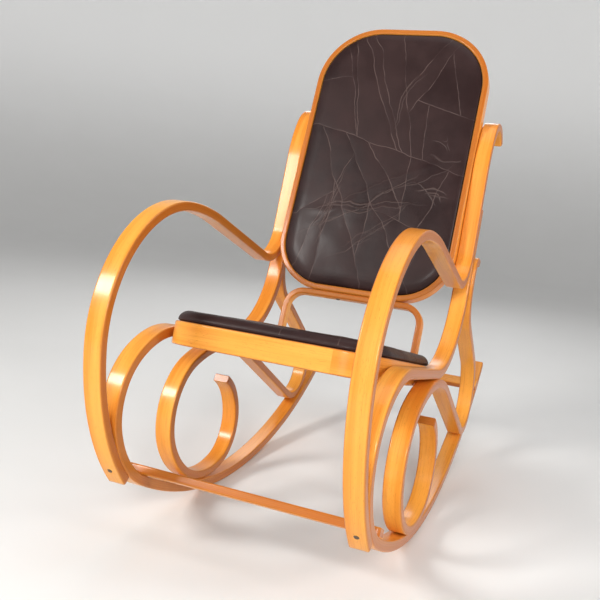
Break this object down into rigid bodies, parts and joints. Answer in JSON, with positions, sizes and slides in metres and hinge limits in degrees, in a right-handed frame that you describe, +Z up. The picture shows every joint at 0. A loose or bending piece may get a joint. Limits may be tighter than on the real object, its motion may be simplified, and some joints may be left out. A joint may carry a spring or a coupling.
{
  "type": "rocking chair",
  "caption": "Bentwood rocking chair with a padded leather seat and back, scrolled side frames and long rockers, for one sitter",
  "frame": {"origin": "centre of the base: the mid plane of the chair, halfway between its front and rear ends, at floor height with the chair in its resting attitude on the rockers", "axes": "X across the chair (the sitter's left is at +X), Y from the front to the rear, Z up"},
  "size_m": [0.508, 1.1782, 1.0839],
  "materials": {
    "wood": "warm honey varnish, glossy",
    "leather": "dark brown, satin, patchwork seams",
    "foam": "matte foam and wadding, hidden inside the leather",
    "cloth": "black dust cloth",
    "steel": "dull zinc"
  },
  "bodies": {
    "root": {"left_arm_strip": "wood", "right_arm_strip": "wood", "left_rocker_strip": "wood", "right_rocker_strip": "wood", "left_scroll_strip": "wood", "right_scroll_strip": "wood", "seat_frame": "wood", "seat_board": "wood", "seat_foam": "foam", "seat_leather": "leather", "seat_bottom_cloth": "cloth", "back_frame": "wood", "back_board": "wood", "back_foam": "foam", "back_leather": "leather", "back_rear_leather": "leather", "lower_loop": "wood", "front_crossbar": "wood", "rear_crossbar": "wood", "arm_foot_bolts": "steel", "foot_bolt_nuts": "steel", "post_screws": "steel", "seat_side_screws": "steel", "back_side_screws": "steel", "loop_screws": "steel", "scroll_dowels": "wood", "crossbar_dowels": "wood"}
  },
  "joints": []
}
